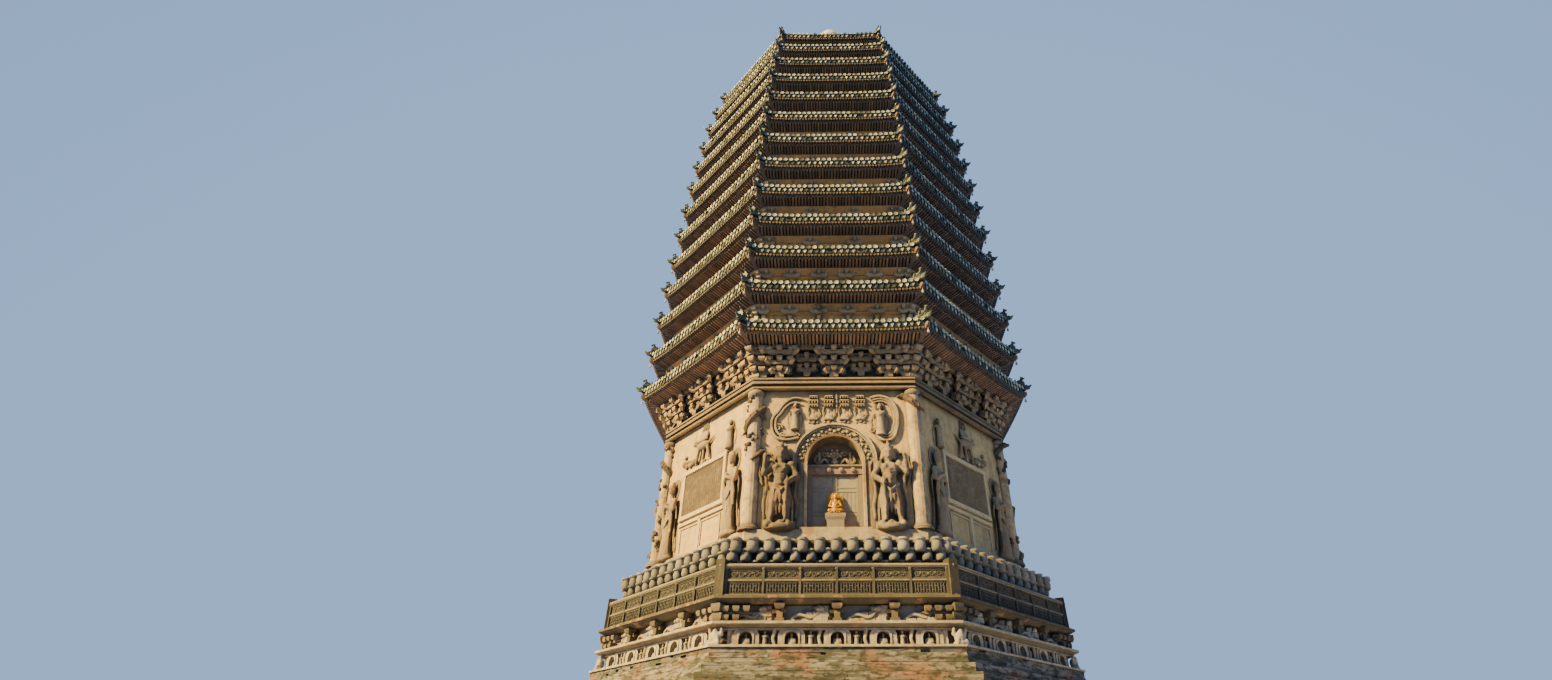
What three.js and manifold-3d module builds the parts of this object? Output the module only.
// Octagonal brick pagoda with thirteen close-set eaves, made as a scale model at 1:2.
// Flat faces look to the front (-Y), back, left and right. The origin is the middle of the
// foot, on the ground, and +Z is up.
//
// Driving dimensions are those of the real building, in metres. An octagon's size is its
// apothem: the distance from the axis to the middle of a face.

import * as THREE from 'three';
import * as BufferGeometryUtils from 'three/addons/utils/BufferGeometryUtils.js';
import Module from 'manifold-3d';

const SCALE = 0.5;
const mm = (metres) => Math.round(metres * 1000 * SCALE);

// Driving dimensions

const FOOT = { apothem: 11.4, step: 0.35, stepHeight: 0.36, steps: 3 };
const LOWER_WAIST = { apothem: 10.25, top: 3.0 };
const LOWER_CORNICE = { apothem: 10.55, step: 0.14, stepHeight: 0.2, steps: 3 };
const UPPER_PLINTH = { apothem: 10.58, step: 0.31, stepHeight: 0.3, steps: 4, ledge: 9.62 };
const UPPER_PLINTH_TOP = 5.0;
const NICHE_BAND = { apothem: 9.3, top: 5.62 };
const NICHE_BAND_CORNICE = { apothem: 9.6, top: 5.8 };
const BALCONY_BRACKETS = { apothem: 9.0, reach: 9.5, width: 0.44, top: 6.4, perSide: 3 };
const BALCONY_DECK = { apothem: 9.6, top: 6.6 };
const BALUSTRADE = { apothem: 9.38, inner: 9.14, top: 7.7, recess: 0.06 };
const BALUSTRADE_POST = { size: 0.34, top: 7.86 };
const LOTUS_DRUM = { apothem: 8.5, top: 7.64 };
const LOTUS_TIERS = [
  { foot: 8.55, apothem: 8.82, top: 8.0 },
  { foot: 8.75, apothem: 9.0, top: 8.38 },
  { foot: 8.92, apothem: 9.14, top: 8.74 },
];
const BODY_PLINTH = { apothem: 8.12, top: 9.36 };
const BODY = { apothem: 7.88, top: 15.48 };
const COLUMN = { radius: 0.3, distance: 8.47, sides: 16 };
const NICHE = { width: 2.2, crown: 13.34, depth: 0.6 };
const LINTEL = { apothem: 8.0, step: 0.14, middle: 15.8, top: 16.0 };
const BRACKETS = { apothem: 7.84, top: 17.46, width: 0.5, reach: 0.42, steps: 3 };
const EAVE_COUNT = 13;
const EAVE = { edge: 0.3, soffit: 0.49, soffitWidth: 1.0, rise: 0.62, slopeWidth: 1.3, lift: 0.16 };
const NECK = { setback: 1.5, corbel: 0.2, steps: 2, stepHeight: 0.26 };
const CROWN_ROOF = { apothem: 2.1, rise: 4.6, sag: 0.9 };
const FINIAL_BASE = { apothem: 1.9, height: 1.8 };
const FINIAL_LOTUS = { radius: 2.2, height: 2.3 };
const FINIAL_PEDESTAL = { radius: 1.2, height: 2.95 };
const JEWEL = { radius: 0.93, seat: 0.5 };
const PEDESTAL = { width: 0.78, depth: 0.54, height: 0.74 };
const FIGURE = { width: 0.76, depth: 0.42, height: 1.04 };

// Values that follow from them

const GAP = 0.3;
const SIDES = 8;
const CORNER = 1 / Math.cos(Math.PI / SIDES);
const footTop = FOOT.stepHeight * FOOT.steps;
const corniceTop = LOWER_WAIST.top + LOWER_CORNICE.stepHeight * LOWER_CORNICE.steps;

// Storeys draw in slowly at first and faster near the top, and their height falls a little.
const eaveApothem = (index) => {
  const share = index / (EAVE_COUNT - 1);
  return 9.42 * (1 - 0.12 * share - 0.08 * share ** 5);
};
const eaveEdge = (index) => 17.95 + 2.25 * index - 0.012 * index ** 2;

// Materials

const finish = (color, roughness, metalness = 0) =>
  new THREE.MeshStandardMaterial({ color, roughness, metalness });
const baseBrick = finish(0x9a8468, 0.95);
const carvedBrick = finish(0xb89b74, 0.9);
const bodyPlaster = finish(0xd3b07c, 0.9);
const stone = finish(0xc2b9a4, 0.85);
const wallPlaster = finish(0x9c6a3c, 0.95);
const glazedTile = finish(0x3c5a44, 0.45);
const finialStone = finish(0xd8cfa0, 0.7);
const gilding = finish(0xd8a43a, 0.35, 0.9);

// Solids

const wasm = await Module();
wasm.setup();

function toManifold(geometry) {
  const bare = geometry.clone();
  for (const name of ['normal', 'uv']) {
    bare.deleteAttribute(name);
  }
  const merged = BufferGeometryUtils.mergeVertices(bare, 0.01);
  return new wasm.Manifold(new wasm.Mesh({
    numProp: 3,
    vertProperties: new Float32Array(merged.attributes.position.array),
    triVerts: new Uint32Array(merged.index.array),
  }));
}

function toGeometry(manifold) {
  const { vertProperties, triVerts } = manifold.getMesh();
  const geometry = new THREE.BufferGeometry();
  geometry.setAttribute('position', new THREE.BufferAttribute(vertProperties, 3));
  geometry.setIndex(new THREE.BufferAttribute(triVerts, 1));
  geometry.computeVertexNormals();
  return geometry;
}

function indexedGeometry(points, faces) {
  const geometry = new THREE.BufferGeometry();
  const positions = points.flatMap((point) => point.toArray());
  geometry.setAttribute('position', new THREE.Float32BufferAttribute(positions, 3));
  geometry.setIndex(faces.flat());
  geometry.computeVertexNormals();
  return geometry;
}

// One octagonal ring. Its corners rise by lift, and the stations between them, given as
// shares of the half side, follow in a curve.
function octagonRing([apothem, z, lift = 0], stations = []) {
  const points = [];
  const half = apothem * Math.tan(Math.PI / SIDES);
  for (let side = 0; side < SIDES; side += 1) {
    const turn = (side * 2 * Math.PI) / SIDES;
    for (const along of [-1, ...stations]) {
      const point = new THREE.Vector3(apothem, along * half, z + lift * along ** 4);
      points.push(point.applyAxisAngle(new THREE.Vector3(0, 0, 1), turn));
    }
  }
  return points;
}

// Joins ring to ring with two triangles for each stretch.
function wallFaces(ringCount, size, closed) {
  const faces = [];
  const last = closed ? ringCount : ringCount - 1;
  for (let level = 0; level < last; level += 1) {
    const lower = level * size;
    const upper = ((level + 1) % ringCount) * size;
    for (let i = 0; i < size; i += 1) {
      const next = (i + 1) % size;
      faces.push([lower + i, lower + next, upper + next]);
      faces.push([lower + i, upper + next, upper + i]);
    }
  }
  return faces;
}

// A solid octagon whose profile of [apothem, z, lift] runs from its foot to its top.
function octagonSolid(profile, stations = []) {
  const rings = profile.map((entry) => octagonRing(entry, stations));
  const size = rings[0].length;
  const faces = wallFaces(rings.length, size, false);
  const foot = rings.length * size;
  const top = foot + 1;
  for (let i = 0; i < size; i += 1) {
    const next = (i + 1) % size;
    const high = (rings.length - 1) * size;
    faces.push([foot, next, i]);
    faces.push([top, high + i, high + next]);
  }
  const ends = [profile[0][1], profile.at(-1)[1]].map((z) => new THREE.Vector3(0, 0, z));
  return indexedGeometry([...rings.flat(), ...ends], faces);
}

// A hollow octagon: the closed profile runs anticlockwise, outside face first.
function octagonFrame(profile) {
  const rings = profile.map((entry) => octagonRing(entry));
  return indexedGeometry(rings.flat(), wallFaces(rings.length, rings[0].length, true));
}

// A stepped profile that grows by one step at each level, or shrinks when step is negative.
function steps(apothem, foot, { step, stepHeight, count }) {
  const profile = [];
  for (let i = 0; i < count; i += 1) {
    const reach = mm(apothem) + i * mm(step);
    const z = foot + i * mm(stepHeight);
    profile.push([reach, z], [reach, z + mm(stepHeight)]);
  }
  return profile;
}

function box(width, depth, height, x, y, z) {
  return new THREE.BoxGeometry(width, depth, height).translate(x, y, z + height / 2);
}

function turned(geometry, turn) {
  return geometry.clone().rotateZ(turn);
}

// The front is the side at -90 degrees, and sides are counted anticlockwise from it.
const sideTurn = (side) => -Math.PI / 2 + (side * 2 * Math.PI) / SIDES;
const cornerTurn = (side) => sideTurn(side) + Math.PI / SIDES;

function joined(solids) {
  return toGeometry(solids.map(toManifold).reduce((whole, piece) => whole.add(piece)));
}

// Scene graph

const pagoda = new THREE.Group();

function place(name, geometry, material, z = 0, group = pagoda) {
  const mesh = new THREE.Mesh(geometry, material);
  mesh.name = name;
  mesh.position.z = z;
  group.add(mesh);
  return mesh;
}

const prism = (apothem, height) => octagonSolid([[mm(apothem), 0], [mm(apothem), height]]);

// Lower tier of the base, out to the foot on the ground

function addLowerTier() {
  const foot = steps(FOOT.apothem, 0, { ...FOOT, step: -FOOT.step, count: FOOT.steps });
  place('foot_plinth', octagonSolid(foot), baseBrick);
  const waistHeight = mm(LOWER_WAIST.top) - mm(footTop);
  place('lower_waist', prism(LOWER_WAIST.apothem, waistHeight), baseBrick, mm(footTop));
  const cornice = steps(LOWER_CORNICE.apothem, 0, { ...LOWER_CORNICE, count: LOWER_CORNICE.steps });
  place('lower_cornice', octagonSolid(cornice), baseBrick, mm(LOWER_WAIST.top));
}

// Upper tier of the base: worn steps, the band of small niches and its cornice

function addUpperTier() {
  const start = mm(corniceTop);
  const plinth = steps(UPPER_PLINTH.apothem, 0, {
    step: -UPPER_PLINTH.step, stepHeight: UPPER_PLINTH.stepHeight, count: UPPER_PLINTH.steps,
  });
  plinth.push([mm(UPPER_PLINTH.ledge), plinth.at(-1)[1]]);
  plinth.push([mm(UPPER_PLINTH.ledge), mm(UPPER_PLINTH_TOP) - start]);
  place('upper_plinth', octagonSolid(plinth), baseBrick, start);

  let level = mm(UPPER_PLINTH_TOP);
  place('niche_band', prism(NICHE_BAND.apothem, mm(NICHE_BAND.top) - level), carvedBrick, level);
  level = mm(NICHE_BAND.top);
  const corniceHeight = mm(NICHE_BAND_CORNICE.top) - level;
  place('niche_band_cornice', prism(NICHE_BAND_CORNICE.apothem, corniceHeight), baseBrick, level);
}

// Balcony: a bracket band, its deck and the balustrade

function addBalcony() {
  const foot = mm(NICHE_BAND_CORNICE.top);
  const height = mm(BALCONY_BRACKETS.top) - foot;
  const core = prism(BALCONY_BRACKETS.apothem, height);
  const width = mm(BALCONY_BRACKETS.width);
  const inner = mm(BALCONY_BRACKETS.apothem) - width;
  const reach = mm(BALCONY_BRACKETS.reach);
  const side = 2 * mm(BALCONY_BRACKETS.apothem) * Math.tan(Math.PI / SIDES);
  const set = box(reach - inner, width, height / 2, (reach + inner) / 2, 0, height / 2);
  const cornerReach = reach * CORNER;
  const cornerInner = inner * CORNER;
  const cornerSet = box(cornerReach - cornerInner, width, height / 2,
    (cornerReach + cornerInner) / 2, 0, height / 2);
  const solids = [core];
  for (let i = 0; i < SIDES; i += 1) {
    solids.push(turned(cornerSet, cornerTurn(i)));
    for (let j = 1; j <= BALCONY_BRACKETS.perSide; j += 1) {
      const along = side * (j / (BALCONY_BRACKETS.perSide + 1) - 0.5);
      solids.push(turned(set.clone().translate(0, along, 0), sideTurn(i)));
    }
  }
  place('balcony_bracket_band', joined(solids), carvedBrick, foot);

  const deck = mm(BALCONY_DECK.top);
  const deckFoot = mm(BALCONY_BRACKETS.top);
  place('balcony_deck', prism(BALCONY_DECK.apothem, deck - deckFoot), baseBrick, deckFoot);
  place('balustrade', balustrade(), carvedBrick, deck);
}

// Rails stand out over two rows of recessed panels, and a post closes each corner.
function balustrade() {
  const outer = mm(BALUSTRADE.apothem);
  const panel = outer - mm(BALUSTRADE.recess);
  const inner = mm(BALUSTRADE.inner);
  const height = mm(BALUSTRADE.top) - mm(BALCONY_DECK.top);
  const railLevels = [[0, 0.09], [0.45, 0.55], [0.84, 1]];
  const outside = railLevels.flatMap(([low, high]) => [
    [panel, height * low], [outer, height * low], [outer, height * high], [panel, height * high],
  ]).slice(1, -1);
  const frame = octagonFrame([...outside, [inner, height], [inner, 0]]);
  const size = mm(BALUSTRADE_POST.size);
  const postHeight = mm(BALUSTRADE_POST.top) - mm(BALCONY_DECK.top);
  const distance = ((outer + inner) / 2) * CORNER;
  const posts = [];
  for (let i = 0; i < SIDES; i += 1) {
    posts.push(turned(box(size, size, postHeight, distance, 0, 0), cornerTurn(i)));
  }
  return joined([frame, ...posts]);
}

// Lotus seat: a drum and three flaring tiers of petals

function addLotusSeat() {
  let level = mm(BALCONY_DECK.top);
  place('lotus_drum', prism(LOTUS_DRUM.apothem, mm(LOTUS_DRUM.top) - level), carvedBrick, level);
  level = mm(LOTUS_DRUM.top);
  LOTUS_TIERS.forEach((tier, index) => {
    const height = mm(tier.top) - level;
    const profile = [
      [mm(tier.foot), 0], [mm(tier.apothem), height * 0.6], [mm(tier.apothem), height],
    ];
    place(`lotus_tier_${index + 1}`, octagonSolid(profile), carvedBrick, level);
    level = mm(tier.top);
  });
}

// Main body: plinth, walls with an arched niche in four faces, and eight corner columns

function archShape(width, crown) {
  const half = width / 2;
  const shape = new THREE.Shape();
  shape.moveTo(-half, -GAP);
  shape.lineTo(half, -GAP);
  shape.lineTo(half, crown - half);
  shape.absarc(0, crown - half, half, 0, Math.PI, false);
  shape.closePath();
  return shape;
}

function addBody() {
  const lotusTop = mm(LOTUS_TIERS.at(-1).top);
  const foot = mm(BODY_PLINTH.top);
  const height = mm(BODY.top) - foot;
  place('body_plinth', prism(BODY_PLINTH.apothem, foot - lotusTop), stone, lotusTop);

  const depth = mm(NICHE.depth);
  const face = mm(BODY.apothem);
  const arch = new THREE.ExtrudeGeometry(archShape(mm(NICHE.width), mm(NICHE.crown) - foot), {
    depth: depth * 2, bevelEnabled: false, curveSegments: 16,
  });
  arch.rotateX(Math.PI / 2).rotateZ(Math.PI / 2).translate(face - depth, 0, 0);
  const radius = mm(COLUMN.radius);
  const distance = mm(COLUMN.distance);
  const round = (r, length) => new THREE.CylinderGeometry(r, r, length, COLUMN.sides)
    .rotateX(Math.PI / 2).translate(distance, 0, height / 2);
  const socketRadius = (radius + GAP) / Math.cos(Math.PI / COLUMN.sides);

  let walls = toManifold(prism(BODY.apothem, height));
  for (let i = 0; i < SIDES; i += 1) {
    walls = walls.subtract(toManifold(turned(round(socketRadius, height * 1.1), cornerTurn(i))));
    place(`corner_column_${i + 1}`, turned(round(radius, height), cornerTurn(i)), bodyPlaster, foot);
    if (i % 2 === 0) {
      walls = walls.subtract(toManifold(turned(arch, sideTurn(i))));
    }
  }
  place('body_walls', toGeometry(walls), bodyPlaster, foot);
}

// The gilded seated figure on its pedestal stands in the front niche

function addFigure() {
  const floor = mm(BODY_PLINTH.top);
  const y = -(mm(BODY.apothem) - mm(NICHE.depth) / 2);
  const block = new THREE.BoxGeometry(mm(PEDESTAL.width), mm(PEDESTAL.depth), mm(PEDESTAL.height));
  const top = mm(PEDESTAL.height);
  place('figure_pedestal', block.translate(0, y, top / 2), stone, floor);
  const outline = [
    [0, 0], [0.5, 0], [0.5, 0.2], [0.34, 0.36], [0.3, 0.66], [0.13, 0.74], [0.15, 0.9], [0, 1],
  ];
  const profile = outline.map(([r, z]) => new THREE.Vector2(r * mm(FIGURE.width), z * mm(FIGURE.height)));
  const figure = new THREE.LatheGeometry(profile, 12).rotateX(Math.PI / 2);
  figure.scale(1, FIGURE.depth / FIGURE.width, 1).translate(0, y, 0);
  place('seated_figure', figure, gilding, floor + top);
}

// Lintel and the tall bracket band that carries the lowest eave

function addBracketBand() {
  const foot = mm(BODY.top);
  const lintel = [
    [mm(LINTEL.apothem), 0],
    [mm(LINTEL.apothem), mm(LINTEL.middle) - foot],
    [mm(LINTEL.apothem + LINTEL.step), mm(LINTEL.middle) - foot],
    [mm(LINTEL.apothem + LINTEL.step), mm(LINTEL.top) - foot],
  ];
  place('lintel', octagonSolid(lintel), stone, foot);

  const bandFoot = mm(LINTEL.top);
  const height = mm(BRACKETS.top) - bandFoot;
  const solids = [prism(BRACKETS.apothem, height)];
  for (let i = 0; i < SIDES; i += 1) {
    solids.push(...bracketSet(mm(BRACKETS.apothem), height).map((b) => turned(b, sideTurn(i))));
    const corner = bracketSet(mm(BRACKETS.apothem) * CORNER, height);
    solids.push(...corner.map((b) => turned(b, cornerTurn(i))));
  }
  place('main_bracket_band', joined(solids), stone, bandFoot);
}

// Each arm of a set reaches further and is wider than the one below it.
function bracketSet(face, height) {
  const arms = [];
  for (let step = 1; step <= BRACKETS.steps; step += 1) {
    const width = mm(BRACKETS.width) * step;
    const reach = (mm(BRACKETS.reach) * step) / BRACKETS.steps;
    const inner = mm(BRACKETS.width);
    const foot = (height * step) / (BRACKETS.steps + 1);
    arms.push(box(reach + inner, width, height - foot, face + (reach - inner) / 2, 0, foot));
  }
  return arms;
}

// Thirteen eaves, each on a neck of corbelled wall

function eaveProfile(apothem) {
  const edge = mm(apothem);
  const rim = mm(EAVE.soffit);
  const lift = mm(EAVE.lift);
  return [
    [edge - mm(EAVE.soffitWidth), 0],
    [edge - mm(EAVE.edge) / 4, rim - mm(EAVE.edge) * 1.2, lift],
    [edge, rim - mm(EAVE.edge), lift],
    [edge, rim, lift],
    [edge - mm(EAVE.slopeWidth), rim + mm(EAVE.rise)],
  ];
}

function neckProfile(apothem, height) {
  const face = mm(apothem - NECK.setback);
  const profile = [[face, 0]];
  for (let i = 0; i < NECK.steps; i += 1) {
    const z = height - (NECK.steps - i) * mm(NECK.stepHeight);
    profile.push([face + i * mm(NECK.corbel), z], [face + (i + 1) * mm(NECK.corbel), z]);
  }
  profile.push([face + NECK.steps * mm(NECK.corbel), height]);
  return profile;
}

function addEaves() {
  const curveStations = [-0.6, 0.6];
  for (let i = 0; i < EAVE_COUNT; i += 1) {
    const label = String(i + 1).padStart(2, '0');
    const soffit = mm(eaveEdge(i)) - mm(EAVE.soffit);
    const eave = octagonSolid(eaveProfile(eaveApothem(i)), curveStations);
    place(`eave_${label}`, eave, glazedTile, soffit);
    if (i > 0) {
      const foot = mm(eaveEdge(i - 1)) + mm(EAVE.rise);
      const neck = octagonSolid(neckProfile(eaveApothem(i), soffit - foot));
      place(`neck_${label}`, neck, wallPlaster, foot);
    }
  }
}

// Pyramid roof over the top eave, then the finial

function addCrown() {
  const last = EAVE_COUNT - 1;
  const foot = mm(eaveEdge(last)) + mm(EAVE.rise);
  const wide = mm(eaveApothem(last) - EAVE.slopeWidth);
  const narrow = mm(CROWN_ROOF.apothem);
  const rise = mm(CROWN_ROOF.rise);
  const shares = [0, 0.33, 0.67, 1];
  const roof = shares.map((share) => [
    wide + (narrow - wide) * share,
    rise * share - mm(CROWN_ROOF.sag) * 2 * share * (1 - share),
  ]);
  place('crown_roof', octagonSolid(roof), glazedTile, foot);

  const crown = new THREE.Group();
  crown.position.z = foot + rise;
  pagoda.add(crown);
  const baseHeight = mm(FINIAL_BASE.height);
  const waist = mm(FINIAL_BASE.apothem) * 0.75;
  const base = [
    [mm(FINIAL_BASE.apothem), 0], [mm(FINIAL_BASE.apothem), baseHeight * 0.2],
    [waist, baseHeight * 0.35], [waist, baseHeight * 0.65],
    [mm(FINIAL_BASE.apothem), baseHeight * 0.8], [mm(FINIAL_BASE.apothem), baseHeight],
  ];
  place('finial_base', octagonSolid(base), finialStone, 0, crown);

  const round = (outline, radius, height) => new THREE.LatheGeometry(
    outline.map(([r, z]) => new THREE.Vector2(r * radius, z * height)), 20).rotateX(Math.PI / 2);
  const lotusHeight = mm(FINIAL_LOTUS.height);
  const bowl = [[0, 0], [0.55, 0], [0.8, 0.2], [0.97, 0.6], [1, 0.85], [0.9, 1], [0, 1]];
  place('finial_lotus', round(bowl, mm(FINIAL_LOTUS.radius), lotusHeight), finialStone,
    baseHeight, crown);
  const shaftHeight = mm(FINIAL_PEDESTAL.height);
  const shaft = [
    [0, 0], [1, 0], [1, 0.14], [0.7, 0.26], [0.66, 0.56], [0.86, 0.74], [0.94, 0.94], [0.8, 1], [0, 1],
  ];
  place('finial_pedestal', round(shaft, mm(FINIAL_PEDESTAL.radius), shaftHeight), finialStone,
    baseHeight + lotusHeight, crown);
  place('finial_jewel', jewel(), finialStone, baseHeight + lotusHeight + shaftHeight, crown);
}

// A sphere that is cut flat where it sits.
function jewel() {
  const radius = mm(JEWEL.radius);
  const start = Math.asin(JEWEL.seat / JEWEL.radius);
  const profile = [new THREE.Vector2(0, 0)];
  const rise = radius * Math.cos(start);
  for (let i = 0; i <= 10; i += 1) {
    const angle = start + ((Math.PI - start) * i) / 10;
    profile.push(new THREE.Vector2(radius * Math.sin(angle), rise - radius * Math.cos(angle)));
  }
  profile.at(-1).x = 0;
  return new THREE.LatheGeometry(profile, 20).rotateX(Math.PI / 2);
}

addLowerTier();
addUpperTier();
addBalcony();
addLotusSeat();
addBody();
addFigure();
addBracketBand();
addEaves();
addCrown();

export default pagoda;
